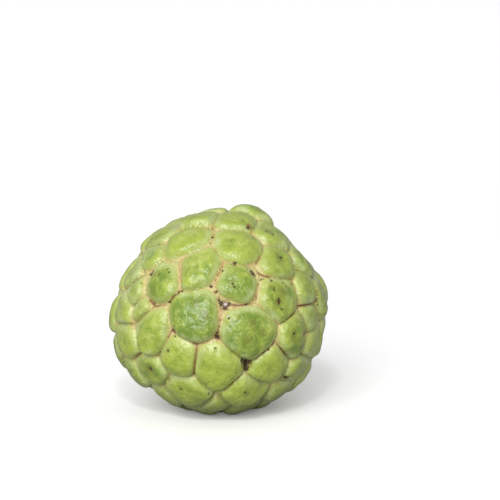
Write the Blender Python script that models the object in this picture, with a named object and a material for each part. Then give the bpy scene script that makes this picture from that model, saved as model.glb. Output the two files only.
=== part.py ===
"""A custard apple: one fruit, covered in raised areoles, and the cut end of its stalk.

Units are metres, +Z is up. The fruit rests on the flat spot under it, at z = 0, and the face that is
turned to the viewer looks along -Y. Directions and radii are taken from the middle of the fruit.
"""
import math

import bpy
import numpy as np

MM = 0.001

# Size of the fruit: radius of the skin along the furrows, and height of its middle above the flat spot
FURROW_RADIUS = 37.3 * MM
MIDDLE_HEIGHT = 37.2 * MM

# Direction from the middle of the fruit to its stalk; the tip that hung lowest lies opposite
STALK_AXIS = (0.12, 0.62, 0.78)

# Where the fruit is looked at from: how far above level, and from how far off
EYE_RISE = math.radians(11)
EYE_DISTANCE = 634 * MM

# Finding a point of the skin from a sight line: how far the areoles stand over the form, and the rounds
SIGHT_RISE = 2.0 * MM
SIGHT_ROUNDS = 12

# The hollow round the stalk, the shoulder round the hollow, and the flat seat in its floor
HOLLOW_DEPTH = 7.5 * MM
HOLLOW_WIDTH = math.radians(20)
SHOULDER_HEIGHT = 0.8 * MM
SHOULDER_ANGLE = math.radians(38)
SHOULDER_WIDTH = math.radians(14)
SEAT_HEIGHT = 31.5 * MM
SEAT_ANGLE = math.radians(9.5)
SEAT_SHARPNESS = 8
LEVEL_LEAST = 0.5

# Areoles: their rise over the furrow is a part of its own and a share of half their width
RISE_LEAST = 1.2 * MM
RISE_SHARE = 0.22
RISE_SPREAD = 0.10
DOME_POWER = 2.8
DOME_POWER_LEAN = 0.9
LEAN = 0.10
LEAN_SPREAD = 0.03

# Furrows: where a dome starts, counted from the furrow's rounded edge, and how sharply corners turn
DOME_START = -0.65 * MM
CORNER_ROUND = 1.3 * MM

# Slow lumps in the skin
LUMP_HEIGHT = 0.14 * MM
LUMP_LENGTH = 9.0 * MM
LUMP_WAVES = 24

# Areoles on the side that is turned away are spread by a rule: their number, and their width
# at the middle of the fruit and how much it grows from there to the stalk
HIDDEN_AREOLES = 40
AREOLE_WIDTH = 15.0 * MM
AREOLE_GROWTH = 4.5 * MM
SEEN_CLEARANCE = 0.28
SETTLING_ROUNDS = 60
FIELD_POINTS = 6000
SEED = 115

# How far a furrow moves over for 1 mm more reach of the areole beside it
REACH_WEIGHT = 0.022
STALK_AREOLE_REACH = -1.6

# The cut end of the stalk
STALK_LENGTH = 8.5 * MM
STALK_RADIUS = 2.9 * MM
STALK_GAP = 0.3 * MM
STALK_SECTIONS = 4

# The stalk's widening: how far along it, and its radius there as a share of STALK_RADIUS
STALK_PROFILE = (
    (0.0, 1.22),
    (0.15, 1.08),
    (0.4, 0.95),
    (0.8, 0.98),
    (1.0, 1.0),
)

# The block that cuts the flat spot under the fruit
FOOT_CUTTER_WIDTH = 60 * MM
FOOT_CUTTER_HEIGHT = 10 * MM

# Fineness: subdivisions of the sphere that is shaped, and the triangles kept
SPHERE_SUBDIVISIONS = 7
FRUIT_TRIANGLES = 10000

# Broad swells of the form: direction (right, up, toward the eye), width in degrees, height in mm
SWELLS = (
    (-0.97, -0.25, 0.0, 26, 2.0),
    (-0.99, 0.12, 0.0, 13, -0.5),
    (-0.76, -0.62, 0.1, 20, 1.2),
    (0.86, -0.50, 0.0, 22, 1.0),
    (0.97, -0.24, 0.0, 10, -1.8),
    (1.0, 0.10, 0.0, 18, 1.2),
    (0.26, 0.97, -0.15, 14, 2.6),
    (-0.05, 1.0, 0.0, 13, -2.8),
    (0.77, 0.64, 0.0, 14, -4.7),
    (-0.38, 0.93, 0.0, 20, -2.4),
    (-0.87, 0.50, 0.0, 20, -2.2),
    (0.15, -0.98, 0.1, 26, -0.4),
    (0.0, 0.1, -1.0, 48, -1.8),
    (-0.64, -0.77, 0.0, 9, -2.6),
    (0.52, 0.85, 0.0, 9, -2.8),
    (-0.05, -1.0, 0.0, 22, -0.6),
)

# Areoles on the side that is turned to the eye: right and up of the fruit's middle in mm, and extra reach
AREOLES = (
    (-10, -2.8, 0.4),
    (-7.6, 15.5, 0.2),
    (-13.6, 26.2, 0.7),
    (-23.6, 10, 0.5),
    (-27.0, -7.6, 0.5),
    (-16.6, -18, 0),
    (-1.5, -21.3, 0.4),
    (-12.8, -32.0, 0.9),
    (-2.0, -36.2, -0.3),
    (9.2, -32.0, 0.5),
    (19.3, -21.8, 0),
    (24, -30.5, 0),
    (-27, -22.6, 0),
    (-36.2, -11, 0),
    (-37, 1, 0),
    (-30.5, 1.0, -0.5),
    (-33, 8, 0),
    (-32.8, 14.5, 0),
    (-27.5, 20.5, 0),
    (-25, 28.8, 0),
    (-9.5, 35.2, 0),
    (7.0, 34.6, 0),
    (11.5, 38.5, 0.5),
    (7, 24.4, 0.6),
    (20, 29, 0),
    (22, 18.6, 0),
    (32.5, 18.5, 0),
    (6.5, 10, 0),
    (23.0, 4.6, 0.3),
    (34.0, 8.5, -0.2),
    (38.5, 6, 0),
    (35.3, -3, -0.5),
    (29, -10.2, 0.2),
    (35.5, -13.5, 0),
    (30.5, -22.6, 0),
    (11, -9, 1.0),
)

# Areoles that stand out more than the rule gives: place in AREOLES from 0, and extra rise in mm
KNOBS = (
    (5, 0.3),
    (6, 0.4),
    (7, 0.7),
    (8, 1.0),
    (9, 0.8),
    (10, 0.3),
    (12, 0.4),
    (32, 0.4),
)

# Bends in the furrows, in mm: a place (right, up), the way it is pulled (right, up), the pull's radius
BENDS = (
    (-3.5, 6.5, 0.0, 2.4, 6),
    (1.0, 3.0, -1.0, 1.5, 5),
    (-3.6, 24.5, 0.3, 2.2, 5),
    (15.5, 24.0, 1.6, 0.8, 5),
    (8.0, 29.0, 0.0, 1.4, 6),
    (19.6, -3.6, 1.6, 0.0, 5),
    (18.5, -12.2, 2.0, 0.4, 5),
    (9.6, -20.5, 1.2, -0.4, 4),
    (-1.2, -29.0, 0.0, -2.6, 5),
    (-29.5, -12.4, 0.0, -2.8, 6),
    (-19.0, 0.2, -1.2, 3.0, 5),
    (-12.8, 7.2, -2.0, 0.0, 4),
    (-16.3, -8.2, -2.2, 0.4, 4),
    (1.6, 16.6, 0.0, 1.8, 4),
    (13.2, 15.3, -0.6, 1.3, 4),
    (27.2, 15.4, 1.6, 1.8, 4),
    (25.0, 21.6, 1.0, 2.0, 4),
    (-12.5, 18.8, -0.6, 3.0, 5.5),
)

# Deeper pits where furrows meet: right and up in mm, radius and depth in mm
PITS = (
    (0.8, 2.0, 2.4, 0.9),
    (10.4, -21.4, 2.8, 1.6),
    (-19.6, 2.6, 2.0, 0.8),
    (-18.4, -8.4, 2.0, 0.8),
    (-1.6, -11.2, 1.8, 0.7),
    (12.9, 14.0, 1.8, 0.6),
    (29.4, 16.6, 2.4, 0.8),
    (26.5, -16.4, 2.0, 0.8),
    (16.4, -28.6, 2.2, 0.9),
)

# Shallow dents in the areoles, some in a row as a groove: right and up in mm, radius and depth in mm
DENTS = (
    (11.4, -0.4, 1.5, 0.25),
    (13.4, -2.9, 1.6, 0.38),
    (14.9, -5.6, 1.6, 0.38),
    (15.0, -8.4, 1.6, 0.38),
    (14.2, -11.2, 1.6, 0.30),
    (22.9, 19.6, 1.4, 0.40),
    (19.9, 8.2, 1.3, 0.35),
    (22.0, 3.5, 1.6, 0.50),
    (27.2, -8.9, 1.7, 0.50),
    (29.8, -14.0, 1.3, 0.40),
    (-26.1, -22.0, 1.6, 0.55),
    (-27.0, 14.5, 1.4, 0.45),
    (-19.8, 26.1, 1.8, 0.35),
    (11.0, 31.3, 1.7, 0.45),
    (-14.3, -29.1, 1.3, 0.35),
    (-18.0, -15.0, 1.6, 0.30),
)

# Places where the furrow is a broad shallow band: right and up in mm, radius and added half width in mm
BROAD_BANDS = (
    (-16.5, 18.5, 5.0, 1.2),
    (-15.5, 11.5, 4.0, 0.8),
    (-2.5, 9.0, 4.0, 0.7),
    (-0.5, 14.5, 4.0, 1.1),
    (1.5, 2.5, 4.5, 1.3),
    (0.5, -5.0, 4.5, 0.9),
    (-4.0, 27.0, 4.5, 0.9),
    (6.5, 3.0, 4.0, 0.7),
    (14.0, 6.0, 5.0, 0.9),
    (15.5, 13.0, 4.0, 0.8),
    (12.5, 21.0, 5.0, 0.7),
    (-20.0, -8.5, 4.0, 0.8),
    (-24.5, 3.5, 5.0, 0.9),
    (-28.0, 12.0, 5.0, 1.0),
    (20.0, -11.0, 5.0, 0.6),
    (-2.0, -12.5, 3.5, 0.6),
    (-9.0, -17.0, 5.0, 0.4),
)

# Colours, linear: red, green, blue
SKIN_COLOUR = (0.31, 0.42, 0.10)
STALK_COLOUR = (0.16, 0.10, 0.06)
SKIN_ROUGHNESS = 0.5
STALK_ROUGHNESS = 0.8


def unit(v):
    """Vectors brought to length 1."""
    return v / np.linalg.norm(v, axis=-1, keepdims=True)


STALK = unit(np.array(STALK_AXIS))
RIGHT = np.array([1.0, 0.0, 0.0])
UP = np.array([0.0, math.sin(EYE_RISE), math.cos(EYE_RISE)])
TOWARD = np.array([0.0, -math.cos(EYE_RISE), math.sin(EYE_RISE)])


def from_view(right, up, toward):
    """A vector given by its reach right, up and toward the eye, in the fruit's own axes."""
    return np.multiply.outer(right, RIGHT) + np.multiply.outer(up, UP) + np.multiply.outer(toward, TOWARD)


def angle_from(u, axis):
    """Angle between each direction and one axis."""
    return np.arccos(np.clip(u @ axis, -1, 1))


def form_radius(u):
    """Radius of the form without its areoles: a ball, with broad swells that fall off as a bell curve
    of the angle from their middle, a hollow at the stalk and a low shoulder round the hollow."""
    radius = np.full(u.shape[:-1], FURROW_RADIUS)
    for right, up, toward, width, height in SWELLS:
        axis = unit(from_view(right, up, toward))
        radius = radius + height * MM * np.exp(-(angle_from(u, axis) / math.radians(width)) ** 2)
    away = angle_from(u, STALK)
    radius = radius - HOLLOW_DEPTH * np.exp(-(away / HOLLOW_WIDTH) ** 2)
    return radius + SHOULDER_HEIGHT * np.exp(-((away - SHOULDER_ANGLE) / SHOULDER_WIDTH) ** 2)


def seen_at(right, up):
    """Direction from the middle to the point of the skin seen at (right, up), in mm in the plane
    through the middle: the sight line is met with a ball whose radius is brought to the form's there."""
    right = np.asarray(right, float) * MM
    up = np.asarray(up, float) * MM
    eye = TOWARD * EYE_DISTANCE
    ray = unit(from_view(right, up, 0 * right) - eye)
    along = ray @ eye
    radius = np.full(right.shape, FURROW_RADIUS)
    for _ in range(SIGHT_ROUNDS):
        root = np.clip(along * along - EYE_DISTANCE ** 2 + (radius + SIGHT_RISE) ** 2, 0, None)
        u = unit(eye + (-along - np.sqrt(root))[..., None] * ray)
        radius = (radius + form_radius(u)) / 2
    return u


def spiral_directions(count):
    """Directions spread evenly over the sphere along a golden spiral."""
    k = np.arange(count) + 0.5
    z = 1 - 2 * k / count
    turn = math.pi * (1 + math.sqrt(5)) * k
    return np.stack([np.sqrt(1 - z * z) * np.cos(turn), np.sqrt(1 - z * z) * np.sin(turn), z], -1)


def hidden_directions(fixed):
    """Middles of the areoles on the far side: drawn at random clear of the fixed ones, then each moved
    to the middle of its own patch a number of times, with patches smaller the farther from the stalk."""
    field = spiral_directions(FIELD_POINTS)
    width = AREOLE_WIDTH + AREOLE_GROWTH * (field @ STALK)
    clear = (field @ fixed.T).max(1) < math.cos(SEEN_CLEARANCE)
    odds = width[clear] ** -2.0
    rng = np.random.default_rng(SEED)
    loose = field[rng.choice(np.flatnonzero(clear), HIDDEN_AREOLES, replace=False, p=odds / odds.sum())]
    pull = (width / AREOLE_WIDTH) ** -4.0
    for _ in range(SETTLING_ROUNDS):
        every = np.concatenate([fixed, loose])
        total = np.zeros((len(every), 3))
        np.add.at(total, (field @ every.T).argmax(1), field * pull[:, None])
        loose = unit(total[len(fixed):])
    return loose


def areole_layout():
    """Middles of all areoles as directions, and their weights: a heavier one takes more of the skin."""
    rows = np.array(AREOLES, float)
    fixed = np.concatenate([seen_at(rows[:, 0], rows[:, 1]), [[0.0, 0.0, -1.0]], STALK[None]])
    loose = hidden_directions(fixed)
    reach = np.concatenate([rows[:, 2], [0.0, STALK_AREOLE_REACH], np.zeros(len(loose))])
    return np.concatenate([fixed, loose]), reach * REACH_WEIGHT


def bend_furrows(u):
    """Directions moved against the pulls in BENDS, so that furrows read from them move too."""
    rows = np.array(BENDS, float)
    places = seen_at(rows[:, 0], rows[:, 1])
    moved = u.copy()
    for place, (_, _, right, up, radius) in zip(places, rows):
        near = np.exp(-((u - place) ** 2).sum(-1) * (FURROW_RADIUS / (radius * MM)) ** 2)
        moved -= near[:, None] * from_view(right, up, 0.0) * MM / FURROW_RADIUS
    return unit(moved)


def inward(u, middles, weights):
    """The areole that each direction lies in, and how far in it lies from the furrow: the least of the
    distances to the planes between this areole and each other, with the least rounded at the corners."""
    span = np.linalg.norm(middles[:, None] - middles[None], axis=-1)
    np.fill_diagonal(span, 1)
    far = 2 - 2 * u @ middles.T - weights
    near = far.argmin(1)
    rows = np.arange(len(u))
    gap = (far - far[rows, near][:, None]) * FURROW_RADIUS / (2 * span[near])
    gap[rows, near] = 1
    return near, -np.log(np.exp(-gap / CORNER_ROUND).sum(1)) * CORNER_ROUND


def lumps(u):
    """Slow unevenness between -1 and 1: the mean of plane waves in random directions."""
    rng = np.random.default_rng(SEED + 1)
    waves = unit(rng.normal(size=(LUMP_WAVES, 3))) * 2 * math.pi * FURROW_RADIUS / LUMP_LENGTH
    phase = rng.uniform(0, 2 * math.pi, LUMP_WAVES)
    return np.sin(u @ waves.T + phase).sum(1) / math.sqrt(LUMP_WAVES)


def band_width(u):
    """Added half width of the furrow, as the sum of soft round spots of it."""
    bands = np.array(BROAD_BANDS)
    width = np.zeros(len(u))
    for place, (_, _, reach, added) in zip(seen_at(bands[:, 0], bands[:, 1]), bands):
        away = np.linalg.norm(u - place, axis=-1) * FURROW_RADIUS / (reach * MM)
        width += added * MM * np.exp(-away ** 2)
    return width


def skin_radius(u):
    """Radius of the skin. Over the form stands one dome for each areole. It rises from the furrow as
    1 - (1 - s)^p, where s runs from 0 at the furrow to 1 at the crown and p is larger, so the flank is
    steeper, on the side turned from the stalk. The dome leans that way too. Pits sink where furrows
    meet, shallow dents lie in the areoles, and the seat of the stalk is flat."""
    middles, weights = areole_layout()
    rng = np.random.default_rng(SEED + 2)
    rise_factor = 1 + RISE_SPREAD * rng.uniform(-1, 1, len(middles))
    own_lean = LEAN_SPREAD * rng.normal(size=(len(middles), 3))
    _, half_width = inward(middles, middles, weights)
    rise = (RISE_LEAST + RISE_SHARE * half_width) * rise_factor
    for place, extra in KNOBS:
        rise[place] += extra * MM
    downward = unit(-STALK + (middles @ STALK)[:, None] * middles + 1e-6)
    stalk_areole = len(AREOLES) + 1
    rise[stalk_areole] = 0
    downward[stalk_areole] = 0

    near, edge = inward(bend_furrows(u), middles, weights)
    step = (u - middles[near]) * FURROW_RADIUS
    below = (step * downward[near]).sum(1)
    power = DOME_POWER + DOME_POWER_LEAN * np.clip(below / half_width[near], -1, 1)
    start = DOME_START + band_width(u)
    s = np.clip((edge - start) / (half_width[near] - start), 0, 1)
    dome = 1 - (1 - s) ** power
    lean = LEAN * below + (step * own_lean[near]).sum(1)
    radius = form_radius(u) + dome * (rise[near] + lean) + LUMP_HEIGHT * lumps(u)

    pits = np.array(PITS + DENTS)
    for place, (_, _, pit_radius, depth) in zip(seen_at(pits[:, 0], pits[:, 1]), pits):
        away = np.linalg.norm(u - place, axis=-1) * FURROW_RADIUS / (pit_radius * MM)
        radius = radius - depth * MM * np.exp(-away ** 2)

    seat = 1 / (1 + (angle_from(u, STALK) / SEAT_ANGLE) ** SEAT_SHARPNESS)
    level = SEAT_HEIGHT / np.maximum(u @ STALK, LEVEL_LEAST)
    return radius + seat * (level - radius)


def place_of_middle(points):
    """The fruit's middle in the model: MIDDLE_HEIGHT up, and so that its box is centred on the origin."""
    centre = (points.min(0) + points.max(0)) / 2
    return np.array([-centre[0], -centre[1], MIDDLE_HEIGHT])


def plain_material(name, colour, roughness):
    """A Principled material of one colour."""
    material = bpy.data.materials.new(name)
    material.use_nodes = True
    shader = material.node_tree.nodes["Principled BSDF"]
    shader.inputs["Base Color"].default_value = (*colour, 1)
    shader.inputs["Roughness"].default_value = roughness
    material.diffuse_color = (*colour, 1)
    return material


def adopt(piece, name, collection):
    """Names a piece and moves it to the collection."""
    piece.name = name
    piece.data.name = name
    for holder in list(piece.users_collection):
        holder.objects.unlink(piece)
    collection.objects.link(piece)


def make_foot_cutter(collection):
    """A block whose top face lies at z = 0, the surface that the fruit rests on."""
    bpy.ops.mesh.primitive_cube_add(size=1, location=(0, 0, -FOOT_CUTTER_HEIGHT / 2))
    cutter = bpy.context.object
    cutter.scale = (FOOT_CUTTER_WIDTH, FOOT_CUTTER_WIDTH, FOOT_CUTTER_HEIGHT)
    cutter.hide_render = True
    cutter.display_type = "WIRE"
    adopt(cutter, "foot_cutter", collection)
    return cutter


def make_fruit(collection, foot_cutter):
    """A fine sphere with its points moved to the skin, thinned to the triangles that it needs, then cut
    flat where it rests. Returns where its middle lies."""
    bpy.ops.mesh.primitive_ico_sphere_add(subdivisions=SPHERE_SUBDIVISIONS, radius=1.0)
    fruit = bpy.context.object
    mesh = fruit.data
    flat = np.empty(len(mesh.vertices) * 3)
    mesh.vertices.foreach_get("co", flat)
    u = unit(flat.reshape(-1, 3))
    points = u * skin_radius(u)[:, None]
    middle = place_of_middle(points)
    mesh.vertices.foreach_set("co", (points + middle).ravel())
    mesh.shade_smooth()
    thin = fruit.modifiers.new("thin", "DECIMATE")
    thin.ratio = FRUIT_TRIANGLES / len(mesh.polygons)
    foot = fruit.modifiers.new("foot", "BOOLEAN")
    foot.operation = "DIFFERENCE"
    foot.object = foot_cutter
    mesh.materials.append(plain_material("skin", SKIN_COLOUR, SKIN_ROUGHNESS))
    adopt(fruit, "fruit", collection)
    return middle


def make_stalk(collection, middle):
    """A short round stub on the seat, a little wider where it grew from the fruit, cut off straight."""
    curve = bpy.data.curves.new("stalk", "CURVE")
    curve.dimensions = "3D"
    curve.bevel_depth = STALK_RADIUS
    curve.bevel_resolution = STALK_SECTIONS
    curve.use_fill_caps = True
    spline = curve.splines.new("POLY")
    spline.points.add(len(STALK_PROFILE) - 1)
    for point, (share, width) in zip(spline.points, STALK_PROFILE):
        place = middle + STALK * (SEAT_HEIGHT + STALK_GAP + share * STALK_LENGTH)
        point.co = (*place, 1)
        point.radius = width
    stalk = bpy.data.objects.new("stalk", curve)
    collection.objects.link(stalk)
    curve.materials.append(plain_material("stalk_bark", STALK_COLOUR, STALK_ROUGHNESS))


def main():
    for old in list(bpy.data.objects):
        bpy.data.objects.remove(old)
    collection = bpy.data.collections.new("custard_apple")
    cutters = bpy.data.collections.new("cutters")
    bpy.context.scene.collection.children.link(collection)
    bpy.context.scene.collection.children.link(cutters)
    middle = make_fruit(collection, make_foot_cutter(cutters))
    make_stalk(collection, middle)


main()
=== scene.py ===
"""The looks of a custard apple: the skin with its areoles, furrows, bloom and blemishes, and the stalk.

Every surface is a function of two parameters worked out with numpy. Lengths are in metres, directions
and radii are taken from the middle of the fruit, and the face turned to the viewer looks along -Y.
"""
import math

import bpy
import numpy as np
from mathutils import Matrix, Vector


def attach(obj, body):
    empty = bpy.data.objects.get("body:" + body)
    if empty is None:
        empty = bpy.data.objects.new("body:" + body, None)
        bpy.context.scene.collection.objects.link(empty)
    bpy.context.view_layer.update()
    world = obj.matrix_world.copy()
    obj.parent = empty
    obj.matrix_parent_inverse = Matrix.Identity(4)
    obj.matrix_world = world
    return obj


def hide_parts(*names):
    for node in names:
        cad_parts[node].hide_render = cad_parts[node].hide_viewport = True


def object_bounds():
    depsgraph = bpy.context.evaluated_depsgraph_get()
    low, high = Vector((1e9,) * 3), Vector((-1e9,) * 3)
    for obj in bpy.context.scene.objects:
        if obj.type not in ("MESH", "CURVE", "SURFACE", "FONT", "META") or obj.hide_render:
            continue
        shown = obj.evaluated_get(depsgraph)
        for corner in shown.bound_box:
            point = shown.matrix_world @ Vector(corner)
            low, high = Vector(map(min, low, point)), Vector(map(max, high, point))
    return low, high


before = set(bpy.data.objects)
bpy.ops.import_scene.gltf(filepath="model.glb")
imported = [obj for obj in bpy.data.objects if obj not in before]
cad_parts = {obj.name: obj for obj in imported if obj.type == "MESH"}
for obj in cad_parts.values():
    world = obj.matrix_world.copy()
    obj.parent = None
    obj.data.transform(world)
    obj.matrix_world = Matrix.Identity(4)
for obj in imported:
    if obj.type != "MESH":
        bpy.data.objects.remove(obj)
cad_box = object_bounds()

MM = 0.001

# Added to a direction that can have no length, so that it has one
BARELY = 1e-6

# Size of the fruit: radius of the skin along the furrows, and height of its middle above the flat spot
FURROW_RADIUS = 37.3 * MM
MIDDLE_HEIGHT = 37.2 * MM

# Direction from the middle of the fruit to its stalk; the tip that hung lowest lies opposite
STALK_AXIS = (0.12, 0.62, 0.78)

# Where the fruit is looked at from: how far above level, and from how far off
EYE_RISE = math.radians(11)
EYE_DISTANCE = 634 * MM

# Finding a point of the skin from a sight line: how far the areoles stand over the form, and the rounds
SIGHT_RISE = 2.0 * MM
SIGHT_ROUNDS = 12

# The hollow round the stalk, and the shoulder round the hollow
HOLLOW_DEPTH = 7.5 * MM
HOLLOW_WIDTH = math.radians(20)
SHOULDER_HEIGHT = 0.8 * MM
SHOULDER_ANGLE = math.radians(38)
SHOULDER_WIDTH = math.radians(14)

# The flat seat in the hollow's floor: its height over the fruit's middle, how far it reaches, how
# sharply it ends, and the least cosine that the distance of its plane is worked out with
SEAT_HEIGHT = 31.5 * MM
SEAT_ANGLE = math.radians(9.5)
SEAT_SHARPNESS = 8
LEVEL_LEAST = 0.5

# Areoles: their rise over the furrow is a part of its own and a share of half their width, and varies
# by RISE_SPREAD. A dome's power says how steep its flank is, and DOME_POWER_LEAN how much steeper it
# is on the side turned from the stalk. All domes lean that way by LEAN, and each in a way of its own.
RISE_LEAST = 1.2 * MM
RISE_SHARE = 0.22
RISE_SPREAD = 0.10
DOME_POWER = 2.8
DOME_POWER_LEAN = 0.9
LEAN = 0.10
LEAN_SPREAD = 0.03

# Furrows: where a dome starts, counted from the furrow's rounded edge, and how sharply corners turn
DOME_START = -0.65 * MM
CORNER_ROUND = 1.3 * MM

# Slow lumps in the skin
LUMP_HEIGHT = 0.14 * MM
LUMP_LENGTH = 9.0 * MM
LUMP_WAVES = 24

# Areoles on the side that is turned away are spread by a rule: their number, their width at the middle
# of the fruit, how much it grows from there to the stalk, and their least angle from the seen ones,
# in radians
HIDDEN_AREOLES = 40
AREOLE_WIDTH = 15.0 * MM
AREOLE_GROWTH = 4.5 * MM
SEEN_CLEARANCE = 0.28

# How the rule works: points that patches are measured with, the powers of the width by which the odds
# of a start and the pull on it fall, and the rounds of settling
FIELD_POINTS = 6000
ODDS_POWER = -2.0
PULL_POWER = -4.0
SETTLING_ROUNDS = 60

# Seeds of the random draws
SEED = 115
LUMP_SEED = SEED + 1
AREOLE_SEED = SEED + 2
PEBBLE_SEED = SEED + 3
WRINKLE_SEED = SEED + 5

# How much weight 1 mm of an areole's extra reach has, and the reach of the one round the stalk
REACH_WEIGHT = 0.022
STALK_AREOLE_REACH = -1.6

# The stub of the stalk, and how far it stands clear of its seat
STALK_LENGTH = 8.5 * MM
STALK_RADIUS = 2.9 * MM
STALK_GAP = 0.3 * MM

# The stub's surface: points round it, rings along its bark and on its cut end, how far out the first
# of those lies, and where the rings of its foot lie, as shares of the radius
STUB_AROUND = 72
STUB_RINGS = 26
STUB_END_RINGS = 8
STUB_END_EDGE = 0.95
STUB_FOOT = (0.0, 0.35, 0.7, 0.94)

# The stub's outline, as shares of its radius: its waist, the swell at its foot, and the flare to its
# end; and how far up the swell reaches, as a share of the length
STUB_WAIST = 0.96
STUB_SWELL = 0.24
STUB_FLARE = 0.03
STUB_SWELL_REACH = 0.16

# Ribs round the stub: their number, height as a share of its radius, twist up to its end, and start
STUB_RIBS = (
    (9, 0.025, 2, 0),
    (17, 0.018, -3, 1),
)

# Broad swells of the form: direction (right, up, toward the eye), width in degrees, height in mm
SWELLS = (
    (-0.97, -0.25, 0.0, 26, 2.0),
    (-0.99, 0.12, 0.0, 13, -0.5),
    (-0.76, -0.62, 0.1, 20, 1.2),
    (0.86, -0.50, 0.0, 22, 1.0),
    (0.97, -0.24, 0.0, 10, -1.8),
    (1.0, 0.10, 0.0, 18, 1.2),
    (0.26, 0.97, -0.15, 14, 2.6),
    (-0.05, 1.0, 0.0, 13, -2.8),
    (0.77, 0.64, 0.0, 14, -4.7),
    (-0.38, 0.93, 0.0, 20, -2.4),
    (-0.87, 0.50, 0.0, 20, -2.2),
    (0.15, -0.98, 0.1, 26, -0.4),
    (0.0, 0.1, -1.0, 48, -1.8),
    (-0.64, -0.77, 0.0, 9, -2.6),
    (0.52, 0.85, 0.0, 9, -2.8),
    (-0.05, -1.0, 0.0, 22, -0.6),
)

# Areoles on the side that is turned to the eye: right and up of the fruit's middle, and extra reach,
# in mm
AREOLES = (
    (-10, -2.8, 0.4),
    (-7.6, 15.5, 0.2),
    (-13.6, 26.2, 0.7),
    (-23.6, 10, 0.5),
    (-27.0, -7.6, 0.5),
    (-16.6, -18, 0),
    (-1.5, -21.3, 0.4),
    (-12.8, -32.0, 0.9),
    (-2.0, -36.2, -0.3),
    (9.2, -32.0, 0.5),
    (19.3, -21.8, 0),
    (24, -30.5, 0),
    (-27, -22.6, 0),
    (-36.2, -11, 0),
    (-37, 1, 0),
    (-30.5, 1.0, -0.5),
    (-33, 8, 0),
    (-32.8, 14.5, 0),
    (-27.5, 20.5, 0),
    (-25, 28.8, 0),
    (-9.5, 35.2, 0),
    (7.0, 34.6, 0),
    (11.5, 38.5, 0.5),
    (7, 24.4, 0.6),
    (20, 29, 0),
    (22, 18.6, 0),
    (32.5, 18.5, 0),
    (6.5, 10, 0),
    (23.0, 4.6, 0.3),
    (34.0, 8.5, -0.2),
    (38.5, 6, 0),
    (35.3, -3, -0.5),
    (29, -10.2, 0.2),
    (35.5, -13.5, 0),
    (30.5, -22.6, 0),
    (11, -9, 1.0),
)

# Areoles that stand out more than the rule gives: place in AREOLES from 0, and extra rise in mm
KNOBS = (
    (5, 0.3),
    (6, 0.4),
    (7, 0.7),
    (8, 1.0),
    (9, 0.8),
    (10, 0.3),
    (12, 0.4),
    (32, 0.4),
)

# Bends in the furrows, in mm: a place (right, up), the way it is pulled (right, up), the pull's radius
BENDS = (
    (-3.5, 6.5, 0.0, 2.4, 6),
    (1.0, 3.0, -1.0, 1.5, 5),
    (-3.6, 24.5, 0.3, 2.2, 5),
    (15.5, 24.0, 1.6, 0.8, 5),
    (8.0, 29.0, 0.0, 1.4, 6),
    (19.6, -3.6, 1.6, 0.0, 5),
    (18.5, -12.2, 2.0, 0.4, 5),
    (9.6, -20.5, 1.2, -0.4, 4),
    (-1.2, -29.0, 0.0, -2.6, 5),
    (-29.5, -12.4, 0.0, -2.8, 6),
    (-19.0, 0.2, -1.2, 3.0, 5),
    (-12.8, 7.2, -2.0, 0.0, 4),
    (-16.3, -8.2, -2.2, 0.4, 4),
    (1.6, 16.6, 0.0, 1.8, 4),
    (13.2, 15.3, -0.6, 1.3, 4),
    (27.2, 15.4, 1.6, 1.8, 4),
    (25.0, 21.6, 1.0, 2.0, 4),
    (-12.5, 18.8, -0.6, 3.0, 5.5),
)

# Deeper pits where furrows meet: right and up in mm, radius and depth in mm
PITS = (
    (0.8, 2.0, 2.4, 0.9),
    (10.4, -21.4, 2.8, 1.6),
    (-19.6, 2.6, 2.0, 0.8),
    (-18.4, -8.4, 2.0, 0.8),
    (-1.6, -11.2, 1.8, 0.7),
    (12.9, 14.0, 1.8, 0.6),
    (29.4, 16.6, 2.4, 0.8),
    (26.5, -16.4, 2.0, 0.8),
    (16.4, -28.6, 2.2, 0.9),
)

# Shallow dents in the areoles, some in a row as a groove: right and up in mm, radius and depth in mm
DENTS = (
    (11.4, -0.4, 1.5, 0.25),
    (13.4, -2.9, 1.6, 0.38),
    (14.9, -5.6, 1.6, 0.38),
    (15.0, -8.4, 1.6, 0.38),
    (14.2, -11.2, 1.6, 0.30),
    (22.9, 19.6, 1.4, 0.40),
    (19.9, 8.2, 1.3, 0.35),
    (22.0, 3.5, 1.6, 0.50),
    (27.2, -8.9, 1.7, 0.50),
    (29.8, -14.0, 1.3, 0.40),
    (-26.1, -22.0, 1.6, 0.55),
    (-27.0, 14.5, 1.4, 0.45),
    (-19.8, 26.1, 1.8, 0.35),
    (11.0, 31.3, 1.7, 0.45),
    (-14.3, -29.1, 1.3, 0.35),
    (-18.0, -15.0, 1.6, 0.30),
)

# Places where the furrow is a broad shallow band: right and up in mm, radius and added half width in mm
BROAD_BANDS = (
    (-16.5, 18.5, 5.0, 1.2),
    (-15.5, 11.5, 4.0, 0.8),
    (-2.5, 9.0, 4.0, 0.7),
    (-0.5, 14.5, 4.0, 1.1),
    (1.5, 2.5, 4.5, 1.3),
    (0.5, -5.0, 4.5, 0.9),
    (-4.0, 27.0, 4.5, 0.9),
    (6.5, 3.0, 4.0, 0.7),
    (14.0, 6.0, 5.0, 0.9),
    (15.5, 13.0, 4.0, 0.8),
    (12.5, 21.0, 5.0, 0.7),
    (-20.0, -8.5, 4.0, 0.8),
    (-24.5, 3.5, 5.0, 0.9),
    (-28.0, 12.0, 5.0, 1.0),
    (20.0, -11.0, 5.0, 0.6),
    (-2.0, -12.5, 3.5, 0.6),
    (-9.0, -17.0, 5.0, 0.4),
)

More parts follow.
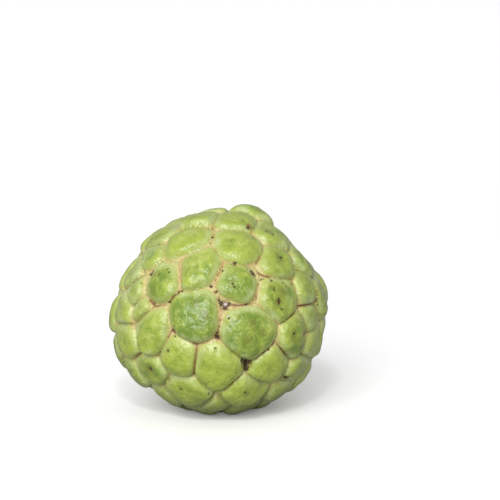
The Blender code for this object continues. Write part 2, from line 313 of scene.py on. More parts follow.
# How light and yellow each areole is, in the order of AREOLES, from -1 for deep green to 1 for light.
# Partly each areole's own tone and partly painted light: the lower areoles are set lighter to stand in
# for the light that falls on the lower front.
LIGHTNESS = (
    -0.9, 0.0, 0.8, -0.4, 0.5, 0.9, 0.8, 0.6, 0.8, 1.0, 0.8, 0.5,
    -0.1, 1.0, 0.5, 0.5, 0.4, 0.4, 0.7, 0.5, 0.8, 0.5, 0.2, 0.8,
    0.3, 0.3, -0.2, -0.6, 0.0, 0.4, 0.0, 0.2, -0.2, 1.0, 0.3, -0.8,
)

# Marks on the skin are given by where they lie in the picture: across and down, and radius, in pixels.
# Dark pits and specks:
DARK_MARKS = (
    (225.5, 304.6, 3.2), (221, 303.5, 2.2), (229.5, 303.5, 2.2), (225, 308.5, 1.8),
    (210, 285, 1.5), (216, 290, 1.3), (219.3, 299.8, 1.4), (228.8, 318.3, 1.4),
    (217, 338.5, 2.4), (216, 334, 1.4), (215.3, 348, 1.3), (170.5, 331, 1.4),
    (172.3, 337, 1.1), (167, 301.3, 1.3), (255, 272, 2.4), (252, 269.8, 1.4),
    (249, 268, 0.9), (263, 278, 1), (265.4, 277, 1), (232.3, 284, 1),
    (234, 287, 0.9), (235.4, 261.5, 1.5), (222.8, 268.8, 1.1), (247.7, 303.4, 1.4),
    (254.7, 299.5, 1), (272.7, 280.3, 1.5), (284.6, 281.7, 1), (287.5, 286.6, 1.2),
    (294.5, 283.4, 0.9), (281.5, 257.5, 1.7), (298.7, 263.4, 1.2), (264.6, 242.7, 1.1),
    (266.4, 231.5, 1.2), (272.7, 235.4, 1.2), (249.2, 226.2, 1.6), (278.7, 298.4, 1.3),
    (278.9, 301.2, 1.5), (278.6, 304, 1.1), (281, 309.4, 1.3), (274, 289.4, 1),
    (274.6, 286.8, 0.8), (147, 272, 1.9), (148.6, 269.4, 1.1), (159, 273.6, 1),
    (166.4, 267.6, 1), (168.9, 271.8, 0.9), (212.4, 233.6, 1.1), (209.9, 239.2, 1),
    (142.9, 258.5, 0.9), (139.4, 281.7, 0.9), (129.6, 281, 0.8), (167.5, 350.2, 1.1),
    (150, 369, 1.8), (181.6, 388, 1.2), (207.9, 393, 1.2), (220.5, 394.4, 1.2),
    (293, 334, 1.5), (304.6, 333.3, 1.4), (308.9, 336, 1.3), (299.7, 347, 1),
    (299.9, 349.4, 0.9), (246.8, 367, 4.6), (243.5, 363, 3.2), (251, 364, 3.2),
    (247.4, 372.6, 3.4), (265.7, 353.3, 1), (270.6, 350.9, 1), (286, 378.2, 2.2),
    (244, 390.2, 1.1), (240.4, 402, 1.1), (319.7, 305, 1),
)

# Brown corky patches
BROWN_MARKS = (
    (225.5, 305, 6.5), (217, 338.5, 4), (196.5, 344.6, 2.2), (167.5, 381, 2),
    (276.2, 343.2, 2.2), (246.8, 368, 7), (298.7, 263.4, 2.4), (249.6, 225.6, 3.6),
    (253.8, 236.8, 1.7), (167, 237.5, 1.8), (171.5, 333, 3), (255, 272, 3.6),
    (318.3, 293, 3), (318.6, 300, 3), (150, 303, 3), (286, 378.5, 3.4),
    (147.4, 271.6, 2.8), (262, 242, 2), (235.5, 262, 2.4), (216, 290.5, 2.6),
    (219, 298.5, 2.6), (302, 334, 2.2), (150.5, 369, 3), (278.6, 302, 3),
)

# Olive parts of the domes
OLIVE_MARKS = (
    (281, 292, 8), (277, 303, 6), (280, 257, 7), (293, 337, 6),
    (303, 333, 5), (250, 226, 6), (269, 232, 6), (150, 370, 8),
    (255, 237, 5), (262, 333, 5), (245, 391, 5), (151, 274, 5),
    (254, 275, 6), (122, 350, 5), (181, 388, 4), (318, 300, 6),
    (167, 240, 5), (273, 288, 4.5), (279, 300, 6), (293, 333, 5),
    (300, 347.5, 4), (147, 271, 4.5), (158, 274, 3.5), (153, 291, 5),
    (167, 350, 4), (165, 366, 4), (281.5, 257.5, 5), (232, 283.5, 4),
    (205, 315, 6), (196, 303, 5), (252, 322, 5), (246, 338, 6),
)

# Bare pale scars, and one painted highlight: the second entry is a glint beside the dark pit at the
# lower right
SCAR_AND_GLINT_MARKS = (
    (225.8, 303.4, 2), (290.3, 378.6, 1.8), (227.6, 316.2, 1.3), (245.6, 362, 1.2),
)

# Tan stretches of the furrows
TAN_MARKS = (
    (181, 259, 5), (179.5, 267, 5), (179.5, 276, 4.5), (180.5, 285, 4),
    (187, 256, 4), (216.5, 281, 4.5), (218.5, 272, 4), (221, 262, 4),
    (220, 312, 4), (218.5, 320, 3.5), (226, 258, 3.5), (239, 264.5, 3),
    (252, 303.5, 3), (257, 296, 3.5), (196, 352, 3), (196, 362, 3),
    (171, 340, 4), (183, 344, 3.5), (207, 344, 3.5), (160, 304, 3.5),
    (149, 300, 4), (213, 232, 3), (318.3, 297, 4.5), (262, 246, 3),
)

# Where the whitish bloom lies thickest
BLOOM_MARKS = (
    (148, 250, 12), (140, 262, 9), (134, 276, 9), (160, 262, 7),
    (172, 261, 8), (126, 292, 9), (133, 303, 9), (119, 308, 8),
    (121, 322, 8), (134, 330, 7), (150, 352, 6), (183, 337, 5),
    (196, 340, 6), (207, 339, 5), (222, 330, 6), (233, 345, 6),
    (244, 355, 5), (274, 315, 5), (288, 355, 5), (190, 230, 7),
    (177, 221, 6), (218, 240, 6), (182, 294, 5), (196, 292, 5),
    (246, 307, 5), (233, 276, 5), (250, 292, 5), (290, 300, 7),
    (310, 300, 7), (312, 324, 6), (284, 241, 6), (243, 208, 7),
)

# Parts of the domes that are lighter than the rest
LIGHT_MARKS = (
    (268, 327, 9), (273, 318, 6), (201, 257, 12), (192, 264, 8),
    (268, 264, 7), (292, 262, 7), (300, 284, 8), (297, 300, 6),
    (191, 232, 9), (180, 240, 6), (172, 285, 6), (228, 236, 7),
    (240, 244, 8), (206, 352, 8), (222, 358, 8), (166, 352, 6),
    (184, 346, 7), (180, 378, 7), (246, 384, 6), (283, 340, 5),
    (154, 322, 6), (128, 318, 7), (150, 336, 6), (262, 352, 6),
)

# Thin brown lines along furrows: from and to, across and down in the picture, and width, in pixels
BROWN_LINES = (
    (217, 322, 217, 340, 2.0), (231, 306, 249, 303, 2.2), (249, 303, 257, 297, 1.8),
    (260.8, 271, 270.6, 275.4, 1.8), (281, 319, 299.4, 314.6, 2.6), (303, 306.5, 312.7, 305, 2.2),
    (192.8, 345, 194, 373, 2.4), (194, 375, 172, 377, 2.0), (132, 357, 144, 352.6, 2.2),
    (144, 352.6, 157, 352.6, 2.2), (274, 344.6, 288, 355, 2.2), (288, 355, 298.7, 353.7, 2.2),
    (253, 367.7, 258.7, 378.2, 2.6), (258.7, 378.2, 263.6, 390, 2.2), (258, 362, 270, 351, 2.0),
    (147, 298.5, 153, 305, 2.0), (178, 290, 167, 301, 2.0), (222, 268, 234, 262, 2.0),
    (200, 399, 208, 393, 2.4), (220, 394, 232, 384, 2.4), (232, 384, 244, 372, 2.0),
    (170, 331, 158, 342, 2.0), (299, 353, 305, 366, 2.2), (290, 379, 303, 369, 2.4),
)

# What the finer surface adds to the form: wrinkles and pebbles, of which a share is left in furrows,
# and a crease along each furrow, of which broad bands take away up to a share
WRINKLE_HEIGHT = 0.07 * MM
WRINKLE_LENGTH = 5.0 * MM
WRINKLE_WAVES = 40
WRINKLE_IN_FURROWS = 0.2
PEBBLE_HEIGHT = 0.04 * MM
PEBBLE_LENGTH = 2.2 * MM
PEBBLE_WAVES = 60
PEBBLE_IN_FURROWS = 0.3
CREASE_DEPTH = 0.40 * MM
CREASE_WIDTH = 0.40 * MM
CREASE_LOSS_IN_BANDS = 0.75

# The grid: steps along a side of each sixth of the sphere, how near a furrow its points are moved onto
# it and in how many rounds, and how far the finished skin stays inside the box of the solids
GRID_STEPS = 128
SETTLE_REACH = 0.25 * MM
SETTLE_ROUNDS = 3
BOX_CLEARANCE = 0.01 * MM

# Points of the grid that agree to this many steps per unit are one point
MERGE_STEPS = 1e7

# Where looks of the skin begin and how sharply: the side turned from the eye, by the cosine of the
# angle from the eye; the painted shade of the underside, by how far down a direction points; and the
# scar round the stalk, by the angle from it. Also how far below a dome's middle, in half widths, is told
# at most.
UNSEEN_COSINE = 0.12
UNSEEN_SHARPNESS = 4
UNDERSIDE_SHADE_START = 0.62
UNDERSIDE_SHADE_REACH = 0.3
SCAR_ANGLE = math.radians(11)
SCAR_SHARPNESS = 4
BELOW_MOST = 1.5

# Marks: the length of the waver in their outlines, and how much larger they are drawn than they look
WAVER_LENGTH = 0.9 * MM
MARK_SPREAD = 1.35

# How each kind of mark shows: how far its outline wavers, how far in it shows most, and its share there
LIGHT_SHOWS = (4.0 * MM, 0.9, 0.6)
OLIVE_SHOWS = (3.0 * MM, 0.9, 0.8)
BLOOM_SHOWS = (5.0 * MM, 0.8, 1.0)
TAN_SHOWS = (4.0 * MM, 0.6, 0.8)
BROWN_SHOWS = (2.4 * MM, 0.7, 0.85)
SCAR_AND_GLINT_SHOWS = (1.0 * MM, 0.6, 0.9)
DARK_WAVER = 1.6 * MM

# Scattered specks on the side turned from the eye: how far apart, and their seed
SPECK_SPACING = 7 * MM
SPECK_SEED = 7.0

# Noise in the materials: length of its patches, detail, roughness, distortion and seed
BROAD_NOISE = (16 * MM, 3, 0.5, 0.4, 1.0)
MIDDLING_NOISE = (5.5 * MM, 3, 0.55, 0.3, 2.0)
FINE_NOISE = (2.1 * MM, 2, 0.5, 0.2, 3.0)
GRAIN_NOISE = (0.8 * MM, 2, 0.6, 0.0, 4.0)
WARM_NOISE = (7 * MM, 2, 0.5, 0.0, 5.0)
BREAK_NOISE = (6 * MM, 3, 0.6, 0.0, 6.0)
HAZE_NOISE = (7 * MM, 3, 0.6, 0.3, 8.0)
WIDER_NOISE = (11 * MM, 2, 0.5, 0.0, 9.0)
BARK_NOISE = (1.2 * MM, 4, 0.65, 0.5, 11.0)
WOOD_NOISE = (0.5 * MM, 3, 0.6, 0.0, 12.0)

# Height of the finest relief, which is in the materials
SKIN_RELIEF = 0.55 * MM
BARK_RELIEF = 0.3 * MM

# The floor: its width, its grey for light that bounces off it and for the eye, and how much it is
# brightened for the eye
FLOOR_WIDTH = 400
FLOOR_IN_BOUNCES = (0.46, 0.46, 0.46)
FLOOR_SEEN = (0.95, 0.95, 0.95)
FLOOR_LIFT = 0.13

# Light: the strength of the white surroundings; a broad panel as far off as a sun, with its strength,
# its spread and its place from the fruit's middle; and a small gloss lamp with its place in the room
WHITE = (1, 1, 1)
SURROUNDINGS_STRENGTH = 0.54
PANEL_STRENGTH = 2.74
PANEL_SPREAD = math.radians(44)
PANEL_PLACE = (-0.26, -0.85, 0.455)
GLOSS_WATTS = 0.9
GLOSS_WIDTH = 0.07
GLOSS_PLACE = (-0.03, -0.55, 0.47)

# The camera: the width of its film in mm, and the nearest that it sees, in metres
SENSOR_WIDTH = 36
NEAREST_SEEN = 0.01

# The picture's frame: half its width in pixels, real size of a pixel at the fruit, and where the
# fruit's middle shows, counted from the middle of the picture
HALF_PICTURE = 250
PIXEL_SIZE = 0.3727 * MM
MIDDLE_RIGHT_PIXELS = -30
MIDDLE_UP_PIXELS = -60


def unit(v):
    """Vectors brought to length 1."""
    return v / np.linalg.norm(v, axis=-1, keepdims=True)


STALK = unit(np.array(STALK_AXIS))
RIGHT = np.array([1.0, 0.0, 0.0])
UP = np.array([0.0, math.sin(EYE_RISE), math.cos(EYE_RISE)])
TOWARD = np.array([0.0, -math.cos(EYE_RISE), math.sin(EYE_RISE)])


def from_view(right, up, toward):
    """A vector given by its reach right, up and toward the eye, in the fruit's own axes."""
    across = np.multiply.outer(right, RIGHT) + np.multiply.outer(up, UP)
    return across + np.multiply.outer(toward, TOWARD)


def angle_from(u, axis):
    """Angle between each direction and one axis."""
    return np.arccos(np.clip(u @ axis, -1, 1))


def form_radius(u):
    """Radius of the form without its areoles: a ball, with broad swells that fall off as a bell curve
    of the angle from their middle, a hollow at the stalk and a low shoulder round the hollow."""
    radius = np.full(u.shape[:-1], FURROW_RADIUS)
    for right, up, toward, width, height in SWELLS:
        axis = unit(from_view(right, up, toward))
        radius = radius + height * MM * np.exp(-(angle_from(u, axis) / math.radians(width)) ** 2)
    away = angle_from(u, STALK)
    radius = radius - HOLLOW_DEPTH * np.exp(-(away / HOLLOW_WIDTH) ** 2)
    return radius + SHOULDER_HEIGHT * np.exp(-((away - SHOULDER_ANGLE) / SHOULDER_WIDTH) ** 2)


def seen_at(right, up):
    """Direction from the middle to the point of the skin seen at (right, up), in mm in the plane
    through the middle: the sight line is met with a ball, whose radius is brought to the form's at
    the meeting point round by round."""
    right = np.asarray(right, float) * MM
    up = np.asarray(up, float) * MM
    eye = TOWARD * EYE_DISTANCE
    ray = unit(from_view(right, up, 0 * right) - eye)
    along = ray @ eye
    radius = np.full(right.shape, FURROW_RADIUS)
    for _ in range(SIGHT_ROUNDS):
        root = np.clip(along * along - EYE_DISTANCE ** 2 + (radius + SIGHT_RISE) ** 2, 0, None)
        u = unit(eye + (-along - np.sqrt(root))[..., None] * ray)
        radius = (radius + form_radius(u)) / 2
    return u


def spiral_directions(count):
    """Directions spread evenly over the sphere along a golden spiral."""
    k = np.arange(count) + 0.5
    z = 1 - 2 * k / count
    turn = math.pi * (1 + math.sqrt(5)) * k
    return np.stack([np.sqrt(1 - z * z) * np.cos(turn), np.sqrt(1 - z * z) * np.sin(turn), z], -1)


def hidden_directions(fixed):
    """Middles of the areoles on the far side: drawn at random clear of the fixed ones, then each moved
    to the middle of its own patch a number of times. Patches are smaller the farther from the stalk."""
    field = spiral_directions(FIELD_POINTS)
    width = AREOLE_WIDTH + AREOLE_GROWTH * (field @ STALK)
    clear = (field @ fixed.T).max(1) < math.cos(SEEN_CLEARANCE)
    odds = width[clear] ** ODDS_POWER
    rng = np.random.default_rng(SEED)
    drawn = rng.choice(np.flatnonzero(clear), HIDDEN_AREOLES, replace=False, p=odds / odds.sum())
    loose = field[drawn]
    pull = (width / AREOLE_WIDTH) ** PULL_POWER
    for _ in range(SETTLING_ROUNDS):
        every = np.concatenate([fixed, loose])
        total = np.zeros((len(every), 3))
        np.add.at(total, (field @ every.T).argmax(1), field * pull[:, None])
        loose = unit(total[len(fixed):])
    return loose


def areole_layout():
    """Middles of all areoles as directions, and their weights: a heavier one takes more of the skin."""
    rows = np.array(AREOLES, float)
    fixed = np.concatenate([seen_at(rows[:, 0], rows[:, 1]), [[0.0, 0.0, -1.0]], STALK[None]])
    loose = hidden_directions(fixed)
    reach = np.concatenate([rows[:, 2], [0.0, STALK_AREOLE_REACH], np.zeros(len(loose))])
    return np.concatenate([fixed, loose]), reach * REACH_WEIGHT


def bend_furrows(u):
    """Directions moved against the pulls in BENDS, each by a bell curve of the distance from it, so
    that furrows read from them move with the pulls."""
    rows = np.array(BENDS, float)
    places = seen_at(rows[:, 0], rows[:, 1])
    moved = u.copy()
    for place, (_, _, right, up, radius) in zip(places, rows):
        near = np.exp(-((u - place) ** 2).sum(-1) * (FURROW_RADIUS / (radius * MM)) ** 2)
        moved -= near[:, None] * from_view(right, up, 0.0) * MM / FURROW_RADIUS
    return unit(moved)


def gaps(u, middles, weights):
    """The areole that each direction lies in, and its distance from the plane between this areole and
    each other: half the difference of the squared distances to the two middles, less their weights,
    over the distance between them. To its own areole the distance is endless."""
    between = np.linalg.norm(middles[:, None] - middles[None], axis=-1)
    np.fill_diagonal(between, 1)
    far = 2 - 2 * u @ middles.T - weights
    near = far.argmin(1)
    rows = np.arange(len(u))
    gap = (far - far[rows, near][:, None]) * FURROW_RADIUS / (2 * between[near])
    gap[rows, near] = np.inf
    return near, gap


def inward(u, middles, weights):
    """The areole that each direction lies in, and how far in from the furrow it lies: the least of its
    gaps, first with corners rounded, as the logarithm of a sum of exponentials, and then as it is."""
    near, gap = gaps(u, middles, weights)
    return near, -np.log(np.exp(-gap / CORNER_ROUND).sum(1)) * CORNER_ROUND, gap.min(1)


def waves(u, length, count, seed):
    """Unevenness of a given wave length: plane waves in random directions, added up and divided by the
    root of their number."""
    rng = np.random.default_rng(seed)
    ways = unit(rng.normal(size=(count, 3))) * 2 * math.pi * FURROW_RADIUS / length
    phase = rng.uniform(0, 2 * math.pi, count)
    total = np.zeros(len(u))
    for way, shift in zip(ways, phase):
        total += np.sin(u @ way + shift)
    return total / math.sqrt(count)


def band_width(u):
    """Added half width of the furrow, as the sum of soft round spots of it."""
    bands = np.array(BROAD_BANDS)
    width = np.zeros(len(u))
    for place, (_, _, reach, added) in zip(seen_at(bands[:, 0], bands[:, 1]), bands):
        away = np.linalg.norm(u - place, axis=-1) * FURROW_RADIUS / (reach * MM)
        width += added * MM * np.exp(-away ** 2)
    return width


def pictured_at(across, down):
    """Direction from the middle to what the picture shows at a place given in its pixels."""
    right = (np.asarray(across) - HALF_PICTURE - MIDDLE_RIGHT_PIXELS) * PIXEL_SIZE / MM
    up = (HALF_PICTURE - MIDDLE_UP_PIXELS - np.asarray(down)) * PIXEL_SIZE / MM
    return seen_at(right, up)


def stroke_strength(u):
    """How strongly a brown line is drawn: a bell curve of the distance to the nearest line."""
    lines = np.array(BROWN_LINES, float)
    starts = pictured_at(lines[:, 0], lines[:, 1])
    ends = pictured_at(lines[:, 2], lines[:, 3])
    strength = np.zeros(len(u))
    for start, end, width in zip(starts, ends, lines[:, 4]):
        along = end - start
        share = np.clip((u - start) @ along / (along @ along), 0, 1)
        away = np.linalg.norm(u - start - share[:, None] * along, axis=-1) * FURROW_RADIUS
        strength = np.maximum(strength, np.exp(-(away / (width * PIXEL_SIZE)) ** 2))
    return strength


def mark_places(marks, middle, stretch):
    """Places of marks on the skin, and their radii, a little larger than they look."""
    marks = np.array(marks)
    u = pictured_at(marks[:, 0], marks[:, 1])
    radius, _ = skin_surface(u)
    return middle + u * radius[:, None] * stretch, marks[:, 2] * PIXEL_SIZE * MARK_SPREAD


def settle_on_furrows(u, middles, weights):
    """Directions close to a furrow are moved onto it, so that the mesh has edges along the furrows.
    Each moves along the skin, square to the furrow, by its gap over how steep the gap grows there."""
    for _ in range(SETTLE_ROUNDS):
        bent = bend_furrows(u)
        near, gap = gaps(bent, middles, weights)
        across = unit(middles[near] - middles[gap.argmin(1)])
        across -= (across * bent).sum(1)[:, None] * bent
        distance = gap.min(1)
        move = np.where(distance < SETTLE_REACH, distance / FURROW_RADIUS / (across ** 2).sum(1), 0)
        u = unit(u - move[:, None] * across)
    return u


def skin_surface(u):
    """Radius of the skin, and what its colours need to know. Over the form stands one dome for each
    areole. It rises from the furrow as 1 - (1 - s)^p, where s runs from 0 at the furrow to 1 at the
    crown and p is larger, so the flank is steeper, on the side turned from the stalk. The dome leans
    that way too. Pits sink where furrows meet and shallow dents in the areoles, each as a bell curve.
    Over that lie wrinkles, fine pebbles and a crease along each furrow. The stalk's seat is a plane."""
    middles, weights = areole_layout()
    rng = np.random.default_rng(AREOLE_SEED)
    rise_factor = 1 + RISE_SPREAD * rng.uniform(-1, 1, len(middles))
    own_lean = LEAN_SPREAD * rng.normal(size=(len(middles), 3))
    _, half_width, _ = inward(middles, middles, weights)
    rise = (RISE_LEAST + RISE_SHARE * half_width) * rise_factor
    for place, extra in KNOBS:
        rise[place] += extra * MM
    downward = unit(-STALK + (middles @ STALK)[:, None] * middles + BARELY)
    stalk_areole = len(AREOLES) + 1
    rise[stalk_areole] = 0
    downward[stalk_areole] = 0

    near, edge, least = inward(bend_furrows(u), middles, weights)
    step = (u - middles[near]) * FURROW_RADIUS
    below = (step * downward[near]).sum(1)
    power = DOME_POWER + DOME_POWER_LEAN * np.clip(below / half_width[near], -1, 1)
    start = DOME_START + band_width(u)
    s = np.clip((edge - start) / (half_width[near] - start), 0, 1)
    dome = 1 - (1 - s) ** power
    lean = LEAN * below + (step * own_lean[near]).sum(1)
    radius = form_radius(u) + dome * (rise[near] + lean)
    radius = radius + LUMP_HEIGHT * waves(u, LUMP_LENGTH, LUMP_WAVES, LUMP_SEED)

    pits = np.array(PITS + DENTS)
    for place, (_, _, pit_radius, depth) in zip(seen_at(pits[:, 0], pits[:, 1]), pits):
        away = np.linalg.norm(u - place, axis=-1) * FURROW_RADIUS / (pit_radius * MM)
        radius = radius - depth * MM * np.exp(-away ** 2)

    wrinkles = WRINKLE_HEIGHT * waves(u, WRINKLE_LENGTH, WRINKLE_WAVES, WRINKLE_SEED)
    radius = radius + wrinkles * (WRINKLE_IN_FURROWS + (1 - WRINKLE_IN_FURROWS) * dome)
    pebbles = PEBBLE_HEIGHT * waves(u, PEBBLE_LENGTH, PEBBLE_WAVES, PEBBLE_SEED)
    radius = radius + pebbles * (PEBBLE_IN_FURROWS + (1 - PEBBLE_IN_FURROWS) * dome)
    crease = CREASE_DEPTH * (1 - CREASE_LOSS_IN_BANDS * np.clip(band_width(u) / MM, 0, 1))
    radius = radius - crease * np.exp(-(least / CREASE_WIDTH) ** 2)

    seat = 1 / (1 + (angle_from(u, STALK) / SEAT_ANGLE) ** SEAT_SHARPNESS)
    level = SEAT_HEIGHT / np.maximum(u @ STALK, LEVEL_LEAST)
    radius = radius + seat * (level - radius)

    tone = rng.uniform(0, 1, len(middles))
    # Partly painted light: the lower areoles' lightness stands in for light on the lower front
    tone[:len(LIGHTNESS)] = (1 + np.array(LIGHTNESS)) / 2
    looks = {
        "inset": (edge - start) / MM,
        "stroke": stroke_strength(u),
        "unseen": np.clip(0.5 - UNSEEN_SHARPNESS * (u @ TOWARD - UNSEEN_COSINE), 0, 1),
        # painted shade: rises as a direction points down, to darken the underside
        "low": np.clip((-u[:, 2] - UNDERSIDE_SHADE_START) / UNDERSIDE_SHADE_REACH, 0, 1),
        "furrow": least / MM,
        "below": np.clip(below / half_width[near], -BELOW_MOST, BELOW_MOST),
        "tone": tone[near],
        "seat": np.exp(-(angle_from(u, STALK) / SCAR_ANGLE) ** SCAR_SHARPNESS),
    }
    return radius, looks


def cube_grid(steps):
    """Directions on a grid of two parameters over each of six sides of a cube, at equal angles, with
    the points that sides share merged; and the four corners of each cell, facing out."""
    turn = np.tan(np.linspace(-math.pi / 4, math.pi / 4, steps + 1))
    a, b = np.meshgrid(turn, turn, indexing="ij")
    one = np.ones_like(a)
    sides = [(one, a, b), (-one, b, a), (b, one, a), (a, -one, b), (a, b, one), (b, a, -one)]
    points = np.concatenate([np.stack(side, -1).reshape(-1, 3) for side in sides])
    index = np.arange((steps + 1) ** 2).reshape(steps + 1, steps + 1)
    cell = np.stack([index[:-1, :-1], index[1:, :-1], index[1:, 1:], index[:-1, 1:]], -1).reshape(-1, 4)
    cells = np.concatenate([cell + k * index.size for k in range(len(sides))])
    rounded = np.round(points * MERGE_STEPS).astype(np.int64)
    _, first, merged = np.unique(rounded, axis=0, return_index=True, return_inverse=True)
    return unit(points[first]), merged.reshape(-1)[cells]


def halve_cells(cells, furrow):
    """Each four-cornered cell as two triangles, split along the diagonal that lies closer to a
    furrow."""
    own = furrow[cells]
    first = own[:, 0] + own[:, 2] <= own[:, 1] + own[:, 3]
    straight = cells[first]
    turned = np.roll(cells[~first], -1, axis=1)
    quads = np.concatenate([straight, turned])
    return np.concatenate([quads[:, [0, 1, 2]], quads[:, [0, 2, 3]]])


def mesh_piece(name, points, cells, looks):
    """A mesh object from points and triangles, shaded smooth, with a value of each look at each
    point."""
    mesh = bpy.data.meshes.new(name)
    mesh.vertices.add(len(points))
    mesh.vertices.foreach_set("co", points.ravel())
    mesh.loops.add(cells.size)
    mesh.loops.foreach_set("vertex_index", cells.ravel())
    mesh.polygons.add(len(cells))
    mesh.polygons.foreach_set("loop_start", np.arange(0, cells.size, cells.shape[1]))
    mesh.update()
    mesh.validate()
    mesh.shade_smooth()
    for look, values in looks.items():
        layer = mesh.attributes.new(look, "FLOAT", "POINT")
        layer.data.foreach_set("value", np.asarray(values, np.float32))
    piece = bpy.data.objects.new(name, mesh)
    bpy.context.scene.collection.objects.link(piece)
    return piece


class Shading:
    """Short names for the nodes of one material."""

    def __init__(self, name):
        self.material = bpy.data.materials.new(name)
        self.material.use_nodes = True
        self.tree = self.material.node_tree
        self.shader = self.tree.nodes["Principled BSDF"]
        self.place = self.node("ShaderNodeTexCoord").outputs["Object"]

    def node(self, kind, **settings):
        """A new node with its settings."""
        made = self.tree.nodes.new(kind)
        for key, value in settings.items():
            setattr(made, key, value)
        return made

    def feed(self, socket, value):
        """Puts a value or another node's output into a socket. A colour is made up to four values."""
        if hasattr(value, "links"):
            self.tree.links.new(value, socket)
        elif isinstance(value, tuple):
            socket.default_value = value + (1,) * (len(socket.default_value) - len(value))
        else:
            socket.default_value = value

    def give(self, name, value):
        """Puts a value or another node's output into a socket of the finished surface."""
        self.feed(self.shader.inputs[name], value)

    def look(self, name):
        """A value that the mesh carries."""
        return self.node("ShaderNodeAttribute", attribute_name=name).outputs["Fac"]

    def math(self, operation, a, b=0.0, c=0.0):
        """One sum on numbers."""
        made = self.node("ShaderNodeMath", operation=operation)
        for socket, value in zip(made.inputs, (a, b, c)):
            self.feed(socket, value)
        return made.outputs[0]

    def times(self, a, b):
        """Two values multiplied."""
        return self.math("MULTIPLY", a, b)

    def plus(self, a, b):
        """Two values added."""
        return self.math("ADD", a, b)

    def larger(self, a, b):
        """The larger of two values."""
        return self.math("MAXIMUM", a, b)

    def sway(self, noise, reach):
        """Noise moved to run to either side of zero, times a reach."""
        return self.times(self.math("SUBTRACT", noise, 0.5), reach)

    def span(self, value, low, high, to_low=0.0, to_high=1.0):
        """A value brought from one range to another, smoothly, and held at its ends."""
        made = self.node("ShaderNodeMapRange", interpolation_type="SMOOTHSTEP")
        for socket, number in zip(made.inputs, (value, low, high, to_low, to_high)):
            self.feed(socket, number)
        return made.outputs[0]

    def noise(self, length, detail, roughness, distortion, seed):
        """Noise whose patches are about one length across."""
        made = self.node("ShaderNodeTexNoise", noise_dimensions="4D")
        self.feed(made.inputs["Vector"], self.place)
        self.feed(made.inputs["W"], seed)
        self.feed(made.inputs["Scale"], 1 / length)
        self.feed(made.inputs["Detail"], detail)
        self.feed(made.inputs["Roughness"], roughness)
        self.feed(made.inputs["Distortion"], distortion)
        return made.outputs[0]

    def spots(self, length, seed):
        """Distance from the nearest of many scattered points about one length apart, in lengths."""
        made = self.node("ShaderNodeTexVoronoi", voronoi_dimensions="4D")
        self.feed(made.inputs["Vector"], self.place)
        self.feed(made.inputs["W"], seed)
        self.feed(made.inputs["Scale"], 1 / length)
        return made.outputs["Distance"]

    def marks(self, places, radii, waver):
        """1 at the middle of any of the marks and 0 from its edge on; their outlines waver."""
        shift = self.node("ShaderNodeTexNoise")
        self.feed(shift.inputs["Vector"], self.place)
        self.feed(shift.inputs["Scale"], 1 / WAVER_LENGTH)
        moved = self.node("ShaderNodeVectorMath", operation="MULTIPLY_ADD")
        self.feed(moved.inputs[0], shift.outputs["Color"])
        self.feed(moved.inputs[1], (waver, waver, waver))
        self.feed(moved.inputs[2], self.place)
        total = 0.0
        for place, radius in zip(places, radii):
            away = self.node("ShaderNodeVectorMath", operation="DISTANCE")
            self.feed(away.inputs[0], moved.outputs[0])
            self.feed(away.inputs[1], tuple(place + waver / 2))
            inside = self.math("MULTIPLY_ADD", away.outputs["Value"], -1 / radius, 1)
            total = self.larger(total, inside)
        return total

    def mix(self, share, a, b, blend="MIX"):
        """Colour a with a share of colour b over it, or blended with it in another way."""
        made = self.node("ShaderNodeMix", data_type="RGBA", blend_type=blend)
        self.feed(made.inputs[0], share)
        self.feed(made.inputs[6], a)
        self.feed(made.inputs[7], b)
        return made.outputs[2]

    def bump(self, height, distance):
        """A fine relief of the given height."""
        made = self.node("ShaderNodeBump")
        self.feed(made.inputs["Height"], height)
        self.feed(made.inputs["Distance"], distance)
        return made.outputs[0]


def srgb(red, green, blue):
    """A colour as the eye names it, 0 to 255, brought to linear light by the sRGB curve."""
    share = np.array([red, green, blue]) / 255
    return tuple(np.where(share <= 0.04045, share / 12.92, ((share + 0.055) / 1.055) ** 2.4).tolist())


# Colours of the skin as they show under the lights, and the share of them that the skin itself has
DEEP_GREEN = srgb(110, 138, 42)
LEAF_GREEN = srgb(163, 180, 67)
LIGHT_GREEN = srgb(190, 200, 104)
# The pale rim is partly the skin's own colour and partly a painted highlight along the upper edges
PALE_RIM_AND_HIGHLIGHT = srgb(190, 198, 112)
CREAM = srgb(208, 198, 134)
TAN = srgb(196, 156, 108)
BROWN = srgb(124, 74, 40)
DARK = srgb(60, 48, 26)
BLOOM = srgb(194, 208, 150)
# Painted shade for the underside, round the spot that the fruit rests on
UNDERSIDE_SHADE = srgb(92, 98, 50)
OLIVE = srgb(114, 120, 40)
PALE_SCAR_AND_GLINT = srgb(206, 190, 188)
SKIN_SHARE = (0.85, 0.85, 0.85)

# Colours of the stalk, each from deep to pale
BARK = srgb(84, 66, 46), srgb(140, 118, 86)
WOOD = srgb(150, 120, 80), srgb(190, 164, 118)


class Skin(Shading):
    """The skin's nodes, with the looks and noises that several of its layers use."""

    def __init__(self, middle, stretch):
        super().__init__("skin")
        self.middle = middle
        self.stretch = stretch
        self.inset = self.look("inset")
        self.furrow = self.look("furrow")
        self.unseen = self.look("unseen")
        self.middling = self.noise(*MIDDLING_NOISE)
        self.fine = self.noise(*FINE_NOISE)
        self.grain = self.noise(*GRAIN_NOISE)

    def placed(self, marks, waver):
        """Marks of one kind at their places on the skin."""
        return self.marks(*mark_places(marks, self.middle, self.stretch), waver)

    def marked(self, marks, waver, full, most):
        """How strongly marks of one kind show, rising from their edges to where they show most."""
        return self.span(self.placed(marks, waver), 0.0, full, 0.0, most)


